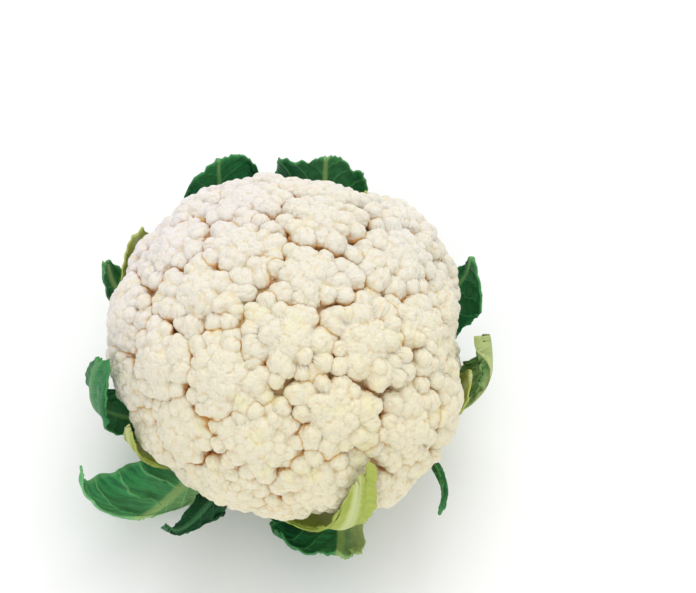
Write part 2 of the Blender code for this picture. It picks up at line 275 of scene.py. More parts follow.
def flesh_finish():
    """Pale green-white skin, finely mottled, creamier higher up, and painted brown shade deep between the
    florets.
    """
    made, start, shader = start_finish("branch flesh")
    place = start.node("ShaderNodeTexCoord", output="Object")
    height = place.axis("Z")
    flecks = place.noise(260.0, 4.0)
    mottle = place.noise(55.0, 3.0)
    rising = height.ease(0.018, 0.050)
    pale = rising.tint((0.50, 0.60, 0.30, 1), (0.76, 0.74, 0.55, 1))
    dull = (mottle.ease(0.35, 0.75) * 0.35).tint(pale, (0.62, 0.66, 0.42, 1))
    skin = (flecks.ease(0.55, 0.8) * 0.3).tint(dull, (0.84, 0.82, 0.68, 1))
    # Painted shade: high up, where the skin shows only deep between the florets, it turns brown.
    skin = height.ease(0.058, 0.070).tint(skin, (0.60, 0.40, 0.17, 1))
    surface(shader, skin, 0.42 + mottle * 0.2, FLESH_SOAKING, (0.25, 0.0004, flecks))
    return made


branches = make_flesh()
branches.data.materials.append(flesh_finish())
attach(branches, "root")
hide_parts("curd")


# The curd. Each floret is a knob of crowded white flower buds at the end of an arm, and grows as a
# dome of rounded lobes. The lobes are beaded with smaller knobs, and these with fine grains.
# Neighbours press together, and the thin crevices between them are painted a darker ochre as shade.
FLORET_COUNT = 44
FLORET_LOWEST = math.radians(-40)
FLORET_WANDER = 0.0035
FLORET_REACH = 0.0185
FLORET_DOME = 0.0034
FLORET_SINK = 0.0026
FLORET_PULL = 0.03
FLORET_TILT = 0.14
LOBE_COUNT = 360
LOBE_RADIUS = 0.0066
LOBE_SPREAD = 0.15
LOBE_WANDER = 0.0022
GOLDEN_ANGLE = math.pi * (3 - math.sqrt(5))
SEED = 11
FLORET_ROOT = 0.0130
FLORET_FLESH = 0.0128
FLORET_HEEL = 0.6
FLORET_CAP = math.radians(116)
FLORET_GRID = 114
FILLER_COUNT = 900
FILLER_RADIUS = 0.0042
FILLER_WANDER = 0.0015
FILLER_SINK = (0.0004, 0.0022)
FILLER_DOME = 0.0012
NEARBY = 0.040
LOBE_CREVICE = 0.0010
FLORET_CREVICE = 0.0012
CREASE = 0.45
KNOB_SPACING = 0.0038
KNOB_HEIGHT = 0.0008
GRAIN_SPACING = 0.0016
GRAIN_HEIGHT = 0.00034
BEAD_RADIUS = 0.74
BEAD_LEVEL = 0.6
BEAD_TRIES = 6
SWELL_SCALE = 95.0
SWELL_HEIGHT = 0.0024
CURD_SOAKING = (0.5, (1.0, 0.8, 0.5), 0.0022)
# Painted shade in the curd's crevices: the stored value, where its tint starts and is full, how strong it is,
# and the darker ochre it paints.
CREVICE_SHADE_TINTS = (
    ("grain_gap", 0.45, 1.0, 0.18, (0.78, 0.64, 0.38, 1)),
    ("knob_gap", 0.50, 1.0, 0.32, (0.80, 0.64, 0.34, 1)),
    ("lobe_gap", 0.40, 1.0, 0.50, (0.78, 0.58, 0.26, 1)),
    ("floret_gap", 0.25, 0.95, 0.75, (0.74, 0.48, 0.17, 1)),
    ("closed_in", 1.4, 2.8, 0.9, (0.68, 0.37, 0.11, 1)),
)

LENGTH = np.concatenate(([0], np.cumsum(np.linalg.norm(np.diff(OUTLINE, axis=0), axis=1))))


def spread(count, wander, draw):
    """Points and normals spread evenly over the top and sides of the head by the golden angle."""
    shown = ANGLE >= FLORET_LOWEST
    outline, outward = OUTLINE[shown][::-1], OUTWARD[shown][::-1]
    area = np.cumsum(outline[:, 0] * np.abs(np.gradient(LENGTH[shown][::-1])))
    for i in range(count):
        at = np.interp((i + 0.5) / count, area / area[-1], np.arange(len(area)))
        point, normal = outline[int(at)], outward[int(at)]
        around = Vector((math.cos(i * GOLDEN_ANGLE), math.sin(i * GOLDEN_ANGLE), 0))
        stray = Vector([draw.uniform(-1, 1) * wander for _ in range(3)])
        direction = around * normal[0] + Vector((0, 0, normal[1]))
        stray -= direction * stray.dot(direction)
        yield around * point[0] + Vector((0, 0, point[1])) + stray, direction


def lobes():
    """The florets' roots and directions, and each lobe's centre, radius and floret."""
    draw = random.Random(SEED)
    florets = [
        (point, draw.random() * FLORET_SINK, direction)
        for point, direction in spread(FLORET_COUNT, FLORET_WANDER, draw)
    ]
    centres, radii, owners = [], [], []

    def crowd(points, size, dome, extra):
        for point, direction in points:
            owner = min(range(FLORET_COUNT), key=lambda i: (florets[i][0] - point).length)
            heart, sink, _ = florets[owner]
            off = point - heart
            off -= direction * off.dot(direction)
            share = off.length / FLORET_REACH
            way = (direction + off * FLORET_TILT / FLORET_REACH).normalized()
            radius = size * (1 + draw.uniform(-1, 1) * LOBE_SPREAD)
            deep = sink + dome * share**2
            if extra:
                deep += draw.uniform(*extra)
            centres.append(point - off * FLORET_PULL - direction * deep - way * radius)
            radii.append(radius)
            owners.append(owner)

    crowd(spread(LOBE_COUNT, LOBE_WANDER, draw), LOBE_RADIUS, FLORET_DOME, None)
    crowd(spread(FILLER_COUNT, FILLER_WANDER, draw), FILLER_RADIUS, FILLER_DOME, FILLER_SINK)
    roots = [heart - direction * (sink + FLORET_ROOT) for heart, sink, direction in florets]
    ways = [direction for heart, sink, direction in florets]
    return list(zip(widened(roots), ways)), widened(centres), np.array(radii), np.array(owners)


def widened(points):
    """Points of a round head, moved out or in to where the bulges of this one take them."""
    points = np.array(points)
    around = np.arctan2(points[:, 1], points[:, 0])
    points[:, :2] *= girth(around, np.hypot(points[:, 0], points[:, 1]))[:, None]
    return points


def cap_directions():
    """An even net of directions round +Z, from a square folded into a disc and then onto a ball."""
    side = np.linspace(-1, 1, FLORET_GRID)
    x, y = np.meshgrid(side, side, indexing="ij")
    wide = np.abs(x) >= np.abs(y)
    far = np.where(wide, x, y)
    safe = np.where(far == 0, 1, far)
    turn = np.where(wide, math.pi / 4 * y / safe, math.pi / 2 - math.pi / 4 * x / safe)
    fall = 2 * np.arcsin(np.clip(np.abs(far) * math.sin(FLORET_CAP / 2), -1, 1))
    turn = turn + np.where(far < 0, math.pi, 0)
    net = np.stack((np.sin(fall) * np.cos(turn), np.sin(fall) * np.sin(turn), np.cos(fall)), axis=2)
    return net.reshape(-1, 3)


def cap_faces():
    """The net's squares, closed below by a fan to one last point."""
    n = FLORET_GRID
    faces = []
    for i in range(n - 1):
        for j in range(n - 1):
            a = i * n + j
            faces.append((a, a + n, a + n + 1, a + 1))
    rim = [(i, 0) for i in range(n - 1)] + [(n - 1, j) for j in range(n - 1)]
    rim += [(i, n - 1) for i in range(n - 1, 0, -1)] + [(0, j) for j in range(n - 1, 0, -1)]
    rim = [i * n + j for i, j in rim]
    for a, b in zip(rim, rim[1:] + rim[:1]):
        faces.append((b, a, n * n))
    return faces


CAP = cap_directions()
CAP_FACES = cap_faces()


def make_floret(number, root, direction, centres, radii, owners):
    """One floret's lobes as a closed skin round its root, with how near each point is to a crevice."""
    turn = np.array(Vector((0, 0, 1)).rotation_difference(direction).to_matrix())
    rays = CAP @ turn.T
    own = owners == number
    away = centres[own] - root
    along = rays @ away.T
    inside = along**2 - (away**2).sum(axis=1) + radii[own] ** 2
    reach = np.where(inside > 0, along + np.sqrt(np.maximum(inside, 0)), 0)
    first = reach.argmax(axis=1)
    furthest = np.maximum(reach.max(axis=1), FLORET_FLESH)
    points = rays * furthest[:, None] + np.array(root)
    outward = rays * FLORET_FLESH - np.where(reach.max(axis=1) < FLORET_FLESH, 0, 1)[:, None] * (
        away[first] - points + root + rays * FLORET_FLESH
    )
    outward /= np.linalg.norm(outward, axis=1)[:, None]
    near = np.linalg.norm(centres - root, axis=1) < NEARBY
    toward = centres[near] - points[:, None]
    far = np.linalg.norm(toward, axis=2)
    facing = np.einsum("pnx,px->pn", toward, outward) / far
    same = np.zeros(facing.shape, bool)
    same[np.arange(len(points)), np.searchsorted(np.flatnonzero(near), np.flatnonzero(own)[first])] = True
    clear = np.where(same, 1, far - radii[near])
    crease = np.clip((facing + 1) / CREASE, 0, 1)
    mine = own[near]
    lobe_gap = ((1 - np.clip(clear / LOBE_CREVICE, 0, 1)) * crease * mine).max(axis=1)
    floret_gap = ((1 - np.clip(clear / FLORET_CREVICE, 0, 1)) * crease * ~mine).max(axis=1)
    # closed_in estimates how far neighbouring lobes close over a point, like ambient occlusion, and the
    # curd's finish paints it as shade.
    closed_in = (np.where(same, 0, np.clip(facing, 0, 1) * (radii[near] / far) ** 2)).sum(axis=1)
    base = np.array(root) - np.array(direction) * FLORET_FLESH * FLORET_HEEL
    points = np.concatenate((points, [base]))
    return add_piece(
        "floret_%02d" % (number + 1),
        points,
        CAP_FACES,
        {
            "lobe_gap": np.append(lobe_gap, 0),
            "floret_gap": np.append(floret_gap, 1),
            "closed_in": np.append(closed_in, 1),
        },
    )


def open_tree(name, inputs):
    """A new tree for a skin, with its named inputs. Gives the tree, and a wire from each input."""
    tree = bpy.data.node_groups.new(name, "GeometryNodeTree")
    tree.interface.new_socket("Skin", in_out="OUTPUT", socket_type="NodeSocketGeometry")
    for key, kind in {"Skin": "Geometry", **inputs, "Finish": "Material"}.items():
        tree.interface.new_socket(key, in_out="INPUT", socket_type="NodeSocket" + kind)
    sockets = tree.nodes.new("NodeGroupInput").outputs
    return tree, {socket.name: Wire(tree, socket) for socket in sockets if socket.name}


def close_tree(tree, skin, finish):
    """The tree's last steps: real geometry, its material, and the way out."""
    skin = skin.node("GeometryNodeRealizeInstances", inputs={"Geometry": skin})
    skin = skin.node("GeometryNodeSetMaterial", inputs={"Geometry": skin, "Material": finish})
    tree.links.new(skin.socket, tree.nodes.new("NodeGroupOutput").inputs["Skin"])
    return tree


def beads_tree():
    """Knobs packed over the lobes, and grains packed over the knobs, each a dome round its own point."""
    tree, given = open_tree("beads", {
        "Knob spacing": "Float",
        "Knob height": "Float",
        "Grain spacing": "Float",
        "Grain height": "Float",
        "Seed": "Int",
    })
    skin = given["Skin"]
    swell = skin.node("GeometryNodeInputPosition").noise(SWELL_SCALE, 1.0)
    skin = lifted(skin, (swell - 0.5) * SWELL_HEIGHT)
    for name in ("Knob", "Grain"):
        spacing = given[name + " spacing"]
        seeds = skin.node(
            "GeometryNodeDistributePointsOnFaces",
            {"distribute_method": "POISSON"},
            {
                "Mesh": skin,
                "Distance Min": spacing,
                "Density Max": BEAD_TRIES / (spacing * spacing),
                "Seed": given["Seed"],
            },
            output="Points",
        )
        near = skin.node(
            "GeometryNodeProximity", {"target_element": "POINTS"}, {"Geometry": seeds}, output="Distance"
        )
        share = near / (spacing * BEAD_RADIUS)
        dome = (1 - share * share).math("MAXIMUM", 0.0).math("SQRT")
        skin = skin.node(
            "GeometryNodeStoreNamedAttribute",
            {"data_type": "FLOAT", "domain": "POINT"},
            {"Geometry": skin, "Name": name.lower() + "_gap", "Value": 1 - dome},
        )
        skin = lifted(skin, (dome - BEAD_LEVEL) * given[name + " height"])
    return close_tree(tree, skin, given["Finish"])


def lifted(skin, height, way=None):
    """A skin moved by a height that varies over it, along its own normals if no way is given."""
    way = way or skin.node("GeometryNodeInputNormal", output="Normal")
    offset = skin.node("ShaderNodeVectorMath", {"operation": "SCALE"}, {"Vector": way, "Scale": height})
    return skin.node("GeometryNodeSetPosition", inputs={"Geometry": skin, "Offset": offset})


def grown(piece, tree, **values):
    """Runs a tree on a piece with its named inputs set, and keeps what it makes as the piece's own mesh."""
    modifier = piece.modifiers.new(tree.name, "NODES")
    modifier.node_group = tree
    for item in tree.interface.items_tree:
        key = item.name.lower().replace(" ", "_")
        if item.item_type == "SOCKET" and item.in_out == "INPUT" and key in values:
            modifier[item.identifier] = values[key]
    graph = bpy.context.evaluated_depsgraph_get()
    mesh = bpy.data.meshes.new_from_object(
        piece.evaluated_get(graph), preserve_all_data_layers=True, depsgraph=graph
    )
    piece.modifiers.remove(modifier)
    piece.data = mesh


def curd_finish():
    """Cream flesh that lets light in, pinkish at the back left, yellower in front, with painted ochre shade
    in its crevices.
    """
    made, start, shader = start_finish("curd")
    place = start.node("ShaderNodeTexCoord", output="Object")
    across = place.axis("X")
    back = place.axis("Y")
    drift = place.noise(28.0, 3.0)
    patches = place.noise(75.0, 2.0)
    specks = place.noise(420.0, 3.0)
    cream = drift.ease(0.35, 0.68).tint((0.74, 0.71, 0.635, 1), (0.74, 0.695, 0.585, 1))
    left = (back * 0.7 - across + (drift - 0.5) * 0.05).ease(0.0, 0.085)
    cream = (left * 0.85).tint(cream, (0.75, 0.705, 0.695, 1))
    right = (across - back + (drift - 0.5) * 0.05).ease(0.02, 0.10)
    cream = (right * 0.5).tint(cream, (0.76, 0.70, 0.50, 1))
    front = 1 - (back + (drift - 0.5) * 0.06).ease(-0.085, 0.045)
    cream = (front * 0.6).tint(cream, (0.77, 0.71, 0.49, 1))
    cream = (patches.ease(0.55, 0.70) * (front * 0.35 + 0.10)).tint(cream, (0.78, 0.74, 0.38, 1))
    cream = (specks.ease(0.55, 0.75) * 0.3).tint(cream, (0.84, 0.82, 0.74, 1))
    # Painted shade: crevices between grains, knobs, lobes and florets, and closed-in pits, are tinted a
    # darker ochre.
    for gap, none, full, strength, colour in CREVICE_SHADE_TINTS:
        cream = (start.own(gap).ease(none, full) * strength).tint(cream, colour)
    pips = start.node("ShaderNodeTexVoronoi", inputs={"Vector": place, "Scale": 850.0}, output="Distance")
    surface(shader, cream, 0.5 + specks * 0.2, CURD_SOAKING, (0.6, 0.0005, 1 - pips))
    return made


BEADS = beads_tree()
CURD = curd_finish()
roots, lobe_centres, lobe_radii, lobe_owners = lobes()
for number, (root, direction) in enumerate(roots):
    floret = make_floret(number, root, direction, lobe_centres, lobe_radii, lobe_owners)
    grown(
        floret,
        BEADS,
        knob_spacing=KNOB_SPACING,
        knob_height=KNOB_HEIGHT,
        grain_spacing=GRAIN_SPACING,
        grain_height=GRAIN_HEIGHT,
        seed=SEED + number,
        finish=CURD,
    )
    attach(floret, "root")
    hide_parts("curd")


# The stem. A short thick stalk, cut straight across with a knife so that the head stands on it.
# Its face shows moist pith, a ring of harder fibres and a green rind, and its side has the scars
# of leaves that were broken off.
STEM_CUT_RADIUS = 0.0220
STEM_HEIGHT = 0.0235
STEM_BEVEL = 0.0012
STEM_COLUMNS = 200
FACE_RINGS = 44
BEVEL_RINGS = 5
SIDE_RINGS = 40
RIDGE_HEIGHT = 0.0004
FINE_RIDGE_HEIGHT = 0.00025
SCAR_DEPTH = 0.0006
SCAR_TURNS = 2.5
SCAR_RISE = 240
SIDE_FADE = 0.003
DISH_DEPTH = 0.0003
KNIFE_MARK_HEIGHT = 0.00008
KNIFE_MARK_RATE = 1500


def make_stem():
    """Rings from the middle of the cut face out to its bevel, up the side, and in under the curd."""
    face = [(STEM_CUT_RADIUS - STEM_BEVEL) * share for share in np.linspace(0.04, 1, FACE_RINGS)]
    profile = [(radius, 0.0) for radius in face]
    for step in range(1, BEVEL_RINGS + 1):
        turn = step / BEVEL_RINGS * math.pi / 2
        profile.append(
            (
                STEM_CUT_RADIUS - STEM_BEVEL * (1 - math.sin(turn)),
                STEM_BEVEL * (1 - math.cos(turn)),
            )
        )
    for share in np.linspace(0, 1, SIDE_RINGS)[1:]:
        radius = STEM_CUT_RADIUS + (STEM_RADIUS - STEM_CUT_RADIUS) * share
        profile.append((radius, STEM_BEVEL + (STEM_HEIGHT - STEM_BEVEL) * share))
    profile += [(STEM_RADIUS * share, STEM_HEIGHT) for share in (0.8, 0.5, 0.2)]
    around = np.arange(STEM_COLUMNS) * 2 * math.pi / STEM_COLUMNS
    profile = np.array(profile)
    radius = profile[:, :1] + 0 * around
    height = profile[:, 1:] + 0 * around
    on_side = (profile[:, :1] > STEM_CUT_RADIUS * 0.97) & (profile[:, 1:] < STEM_HEIGHT * 0.98)
    ridged = RIDGE_HEIGHT * np.sin(7 * around + 0.6)
    ridged = ridged + FINE_RIDGE_HEIGHT * np.sin(16 * around + 9 * height / STEM_HEIGHT)
    scar = np.abs(np.sin(SCAR_TURNS * around + SCAR_RISE * height)) ** 6 * SCAR_DEPTH
    carved = np.where(on_side, scar + RIDGE_HEIGHT + ridged, 0)
    radius = radius - carved * np.clip(height / SIDE_FADE, 0, 1)
    on_face = height < 1e-6
    mark = 1 + np.sin(radius * np.cos(around - 0.4) * KNIFE_MARK_RATE)
    dished = DISH_DEPTH * (1 - (radius / STEM_CUT_RADIUS) ** 2) + KNIFE_MARK_HEIGHT * mark
    height = np.where(on_face & (radius < STEM_CUT_RADIUS * 0.9), dished, height)
    points = np.stack((radius * np.cos(around), radius * np.sin(around), height), axis=2).reshape(-1, 3)
    points = np.concatenate((points, [(0, 0, DISH_DEPTH), (0, 0, STEM_HEIGHT)]))
    return add_piece("stem", points, ring_faces(len(profile), STEM_COLUMNS))


def stem_finish():
    """Green rind outside. The cut face goes from wet pith through a fibre ring to a browned rim."""
    made, start, shader = start_finish("stem flesh")
    place = start.node("ShaderNodeTexCoord", output="Object")
    across = place.axis("X")
    back = place.axis("Y")
    out = (across * across + back * back).math("SQRT")
    wobble = place.noise(120.0, 3.0)
    fibres = start.node("ShaderNodeTexVoronoi", inputs={"Vector": place, "Scale": 900.0}, output="Distance")
    out = out + (wobble - 0.5) * 0.0022
    pith = (fibres.ease(0.1, 0.6) * 0.5).tint((0.62, 0.63, 0.42, 1), (0.80, 0.78, 0.60, 1))
    ring = out.ease(0.0135, 0.0150) * (1 - out.ease(0.0165, 0.0180))
    face = (ring * (0.5 + fibres * 0.5)).tint(pith, (0.90, 0.87, 0.74, 1))
    face = out.ease(0.0180, 0.0205).tint(face, (0.40, 0.52, 0.20, 1))
    browned = out.ease(0.0196, 0.0216) * wobble.ease(0.40, 0.65)
    face = (browned * 0.7).tint(face, (0.36, 0.22, 0.10, 1))
    face = (wobble.ease(0.58, 0.78) * 0.35).tint(face, (0.50, 0.36, 0.18, 1))
    rind = wobble.ease(0.3, 0.7).tint((0.42, 0.54, 0.24, 1), (0.66, 0.70, 0.44, 1))
    skin = place.axis("Z").ease(0.0004, 0.0016).tint(face, rind)
    surface(shader, skin, 0.34 + wobble * 0.25, FLESH_SOAKING, (0.3, 0.0003, fibres + wobble))
    return made


stem = make_stem()
stem.data.materials.append(stem_finish())
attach(stem, "root")
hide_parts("stem")


# The inner leaves. They hug the curd, pale yellow-green because little light reached them, with a
# broad pale midrib that clasps the stem. Each was cut back to a stub when the head was trimmed,
# so it ends in a torn edge.
LEAF_ROOT = STEM_RADIUS + 0.0006
LEAF_DISTANCE = {"inner": 0.0007, "middle": 0.0058, "outer": 0.0122}
LEAF_RIB = {"inner": 0.0040, "middle": 0.0054, "outer": 0.0072}
BLADE_THICKNESS = 0.0009
RIB_ROOT_SHARE = 1.05
RIB_TIP_WIDTH = 0.0035
RIB_TIP_SHARE = 0.42
TORN_ROWS = 12
TORN_COLUMNS = 9
COLUMN_CROWDING = 1.3
CURL_START = 0.30
SECTION_STEPS = 40
RAGGED_SIDE = 0.10
RAGGED_END = 0.045
NIBBLED_SIDE = (-0.07, 0.05)
NIBBLED_END = (-0.022, 0.016)
NIBBLE_BLUR = (0.25, 0.5, 0.25)
WAIST_DEPTH = 0.22
WAIST_END = 0.25
BLADE_START = 0.22
BLADE_RISE = 0.5
CUT_NARROWING = 0.12
CUT_START = 0.8
CUT_LENGTH = 0.2
EDGE_BAND = 0.07
END_BAND = 0.03
LEAF_ROWS = 92
LEAF_COLUMNS = 63
VEIN_SPACING = 0.0085
VEIN_SLANT = 0.75
VEIN_STAGGER = 0.25
LEAF_GLOSS = 0.14
LEAF_SOAKING = (0.08, (0.6, 1.0, 0.3), 0.001)
PUCKER_HEIGHT = {"inner": 0.0009, "middle": 0.0016, "outer": 0.0022}
LEAF_SHAPE = dict(
    base=0.0115, left=0.024, right=0.024, rib=1.0, lean=0.006, lean_start=0.5, sweep=0.0, late=1.0,
    curl_left=0.5, curl_right=0.5, wave=0.0015, waves=2.5, phase=0.0, cut=0.0, tip=0.12, torn=1.0,
)
INNER_LEAVES = (
    ("inner_front", 281, 0.100, dict(
        left=0.028, right=0.009, sweep=11, cut=0.34, tip=0.25, lean=0.001,
        curl_left=0.0, curl_right=0.0, wave=0.0005)),
    ("inner_left", 217, 0.090, dict(
        left=0.010, right=0.012, sweep=-3, tip=0.55, lean=0.002, curl_left=0.2, curl_right=0.2, wave=0.0005)),
    ("inner_right", 350, 0.078, dict(
        left=0.015, right=0.017, tip=0.40, lean=0.001, curl_left=0.1, curl_right=0.1, wave=0.0008)),
    ("inner_back", 62, 0.086, dict(
        left=0.018, right=0.015, tip=0.35, lean=0.002, curl_left=0.1, curl_right=0.1, wave=0.0008)),
    ("inner_back_left", 137, 0.094, dict(
        left=0.016, right=0.013, tip=0.30, sweep=6, lean=0.002, curl_left=0.1, curl_right=0.1, wave=0.0008)),
)


ROOT_LENGTH = np.interp(LEAF_ROOT, OUTLINE[: OUTLINE_STEPS // 2, 0], LENGTH[: OUTLINE_STEPS // 2])


def on_outline(length):
    """Point and outward normal at a length along the outline, measured from the leaf roots."""
    columns = np.concatenate((OUTLINE, OUTWARD), axis=1).T
    return [np.interp(length, LENGTH - ROOT_LENGTH, column) for column in columns]


def half_width(s, base, blade):
    """A leaf's half width along it: a clasping base, a waist, the blade, and a little less at the cut."""
    waist = base * (1 - WAIST_DEPTH * smooth(s / WAIST_END))
    spreading = smooth((s - BLADE_START) / BLADE_RISE)
    return waist + (blade - waist) * spreading - CUT_NARROWING * blade * smooth((s - CUT_START) / CUT_LENGTH)


def section(share, width, curl):
    """How far across and how far off a leaf's section lies, at shares of its half width, as it curls."""
    q = np.linspace(0, 1, SECTION_STEPS)
    bend = curl * smooth((q - CURL_START) / (1 - CURL_START))
    across = np.concatenate(([0], np.cumsum(np.cos(bend))[:-1])) / (SECTION_STEPS - 1)
    off = np.concatenate(([0], np.cumsum(np.sin(bend))[:-1])) / (SECTION_STEPS - 1)
    return width * np.interp(share, q, across), width * np.interp(share, q, off)


def torn_edges(azimuth):
    """How far the tears take the sides and the end in or out, row by row and column by column."""
    draw = random.Random(azimuth)
    end = [draw.uniform(-1, 1) * RAGGED_END for _ in range(TORN_COLUMNS)]
    side = [[draw.uniform(-1, 1) * RAGGED_SIDE for _ in range(2)] for _ in range(TORN_ROWS)]
    rows = np.linspace(0, 1, LEAF_ROWS)
    columns = np.linspace(-1, 1, LEAF_COLUMNS)
    end = np.interp(columns, np.linspace(-1, 1, TORN_COLUMNS), end)
    side = [np.interp(rows, np.linspace(0, 1, TORN_ROWS), [row[i] for row in side]) for i in range(2)]
    nibble = np.random.default_rng(azimuth)
    for i in range(2):
        side[i] = side[i] + np.convolve(nibble.uniform(*NIBBLED_SIDE, LEAF_ROWS), NIBBLE_BLUR, "same")
    end = end + np.convolve(nibble.uniform(*NIBBLED_END, LEAF_COLUMNS), NIBBLE_BLUR, "same")
    return side, end


def leaf_sheet(whorl, azimuth, length, shape):
    """The leaf's inner face as a grid of points, with its thickness, its rib and its place on the leaf."""
    points = np.zeros((LEAF_ROWS, LEAF_COLUMNS, 3))
    thickness = np.zeros((LEAF_ROWS, LEAF_COLUMNS))
    ribbed = np.zeros((LEAF_ROWS, LEAF_COLUMNS))
    place = np.zeros((LEAF_ROWS, LEAF_COLUMNS, 3))
    torn_side, torn_end = torn_edges(azimuth)
    v = np.linspace(-1, 1, LEAF_COLUMNS)
    u = np.sign(v) * np.abs(v) ** COLUMN_CROWDING
    right = u > 0
    for row, s in enumerate(np.linspace(0, 1, LEAF_ROWS)):
        lean = shape["lean"] * smooth((s - shape["lean_start"]) / (1 - shape["lean_start"]))
        across = np.zeros(LEAF_COLUMNS)
        off = np.zeros(LEAF_COLUMNS)
        for side, here in (("left", ~right), ("right", right)):
            width = half_width(s, shape["base"], shape[side])
            tear = torn_side[side == "right"][row]
            widths = width * (1 + tear * np.abs(u[here]) ** 2 * smooth(s * 2))
            across[here], off[here] = section(np.abs(u[here]), widths, shape["curl_" + side] * smooth(s))
        ripple = np.sin(2 * math.pi * (shape["waves"] * s + shape["phase"] + np.where(right, 0.3, 0)))
        off = off + lean + shape["wave"] * smooth(s * 1.5) * np.abs(u) ** 1.5 * (1 + ripple)
        end = 1 + (shape["cut"] * u - shape["tip"] * u * u + torn_end * shape["torn"]) * s
        flat, height, out, up = on_outline(length * s * end)
        distance = LEAF_DISTANCE[whorl] + off
        radius = np.maximum(flat + out * distance, LEAF_ROOT)
        if row == 0:
            radius = np.full(LEAF_COLUMNS, LEAF_ROOT)
        turned = math.radians(azimuth + shape["sweep"] * s ** shape["late"])
        around = turned + np.sign(u) * across / radius
        radius = radius + flat * (girth(around, flat) - 1)
        points[row, :, 0] = radius * np.cos(around)
        points[row, :, 1] = radius * np.sin(around)
        points[row, :, 2] = height + up * distance
        rib_width = shape["rib"] * (shape["base"] * RIB_ROOT_SHARE * (1 - s) + RIB_TIP_WIDTH * s)
        rib = np.maximum(0, 1 - (across / rib_width) ** 2) ** 2
        rib_depth = shape["rib"] * LEAF_RIB[whorl] * (1 - (1 - RIB_TIP_SHARE) * s)
        thickness[row] = BLADE_THICKNESS + (rib_depth - BLADE_THICKNESS) * rib
        ribbed[row] = rib
        place[row] = np.stack((np.sign(u) * across, length * s * end, s + 0 * u), axis=1)
    return points, thickness, ribbed, place


def make_leaf(name, whorl, azimuth, length, changes):
    """A closed leaf: its inner and outer faces, and the thin edge all round between them."""
    points, thickness, ribbed, place = leaf_sheet(whorl, azimuth, length, {**LEAF_SHAPE, **changes})
    outward = np.cross(np.gradient(points, axis=1), np.gradient(points, axis=0))
    outward /= np.linalg.norm(outward, axis=2, keepdims=True)
    facing = points[:, LEAF_COLUMNS // 2] - (0, 0, HEAD_LEVEL)
    if (outward[:, LEAF_COLUMNS // 2] * facing).sum() < 0:
        outward = -outward
    outer = points + outward * thickness[:, :, None]
    rows, columns = LEAF_ROWS, LEAF_COLUMNS
    size = rows * columns
    faces = []
    for row in range(rows - 1):
        for column in range(columns - 1):
            a = row * columns + column
            faces.append((a, a + 1, a + columns + 1, a + columns))
            faces.append((size + a, size + a + columns, size + a + columns + 1, size + a + 1))
    rim = [(0, j) for j in range(columns - 1)] + [(i, columns - 1) for i in range(rows - 1)]
    rim += [(rows - 1, j) for j in range(columns - 1, 0, -1)] + [(i, 0) for i in range(rows - 1, 0, -1)]
    rim = [i * columns + j for i, j in rim]
    for a, b in zip(rim, rim[1:] + rim[:1]):
        faces.append((a, size + a, size + b, b))
    u = np.abs(np.linspace(-1, 1, columns)) + np.zeros((rows, 1))
    end = np.linspace(0, 1, rows)[:, None] + np.zeros(columns)
    edge = np.maximum(smooth((u - 1) / EDGE_BAND + 1), smooth((end - 1) / END_BAND + 1))
    values = {
        "rib": np.tile(ribbed.ravel(), 2),
        "edge": np.tile(edge.ravel(), 2),
        "inner_face": np.repeat((1.0, 0.0), size),
        "place": np.tile(place.reshape(-1, 3), (2, 1)),
        "outward": np.tile(outward.reshape(-1, 3), (2, 1)),
    }
    piece = add_piece(name, np.concatenate((points.reshape(-1, 3), outer.reshape(-1, 3))), faces, values)
    shell = bmesh.new()
    shell.from_mesh(piece.data)
    bmesh.ops.recalc_face_normals(shell, faces=shell.faces[:])
    shell.to_mesh(piece.data)
    shell.free()
    return piece


def vein_turns(across, along, spacing):
    """Counts the side veins. They leave the midrib in turn left and right, and sweep up to the margin."""
    return (along - across.math("ABSOLUTE") * VEIN_SLANT) / spacing + across.math("SIGN") * VEIN_STAGGER


def puckers_tree():
    """The blade swells out between the side veins, and crinkles away from its rib and root."""
    tree, given = open_tree("puckers", {"Vein spacing": "Float", "Pucker height": "Float"})
    leaf = given["Skin"]

    def stored(name, kind="FLOAT"):
        return leaf.node("GeometryNodeInputNamedAttribute", {"data_type": kind}, {"Name": name}, "Attribute")

    place = stored("place", "FLOAT_VECTOR")
    along = place.axis("Y")
    turn = vein_turns(place.axis("X"), along, given["Vein spacing"])
    swell = (turn.math("PINGPONG", 0.5) * 2).math("SQRT")
    crinkle = place.noise(120.0, 2.0)
    free = (1 - stored("rib")) * along.ease(0.006, 0.030)
    height = (swell * 0.7 + crinkle - 0.75) * given["Pucker height"] * free
    leaf = lifted(leaf, height, stored("outward", "FLOAT_VECTOR"))
    return close_tree(tree, leaf, given["Finish"])


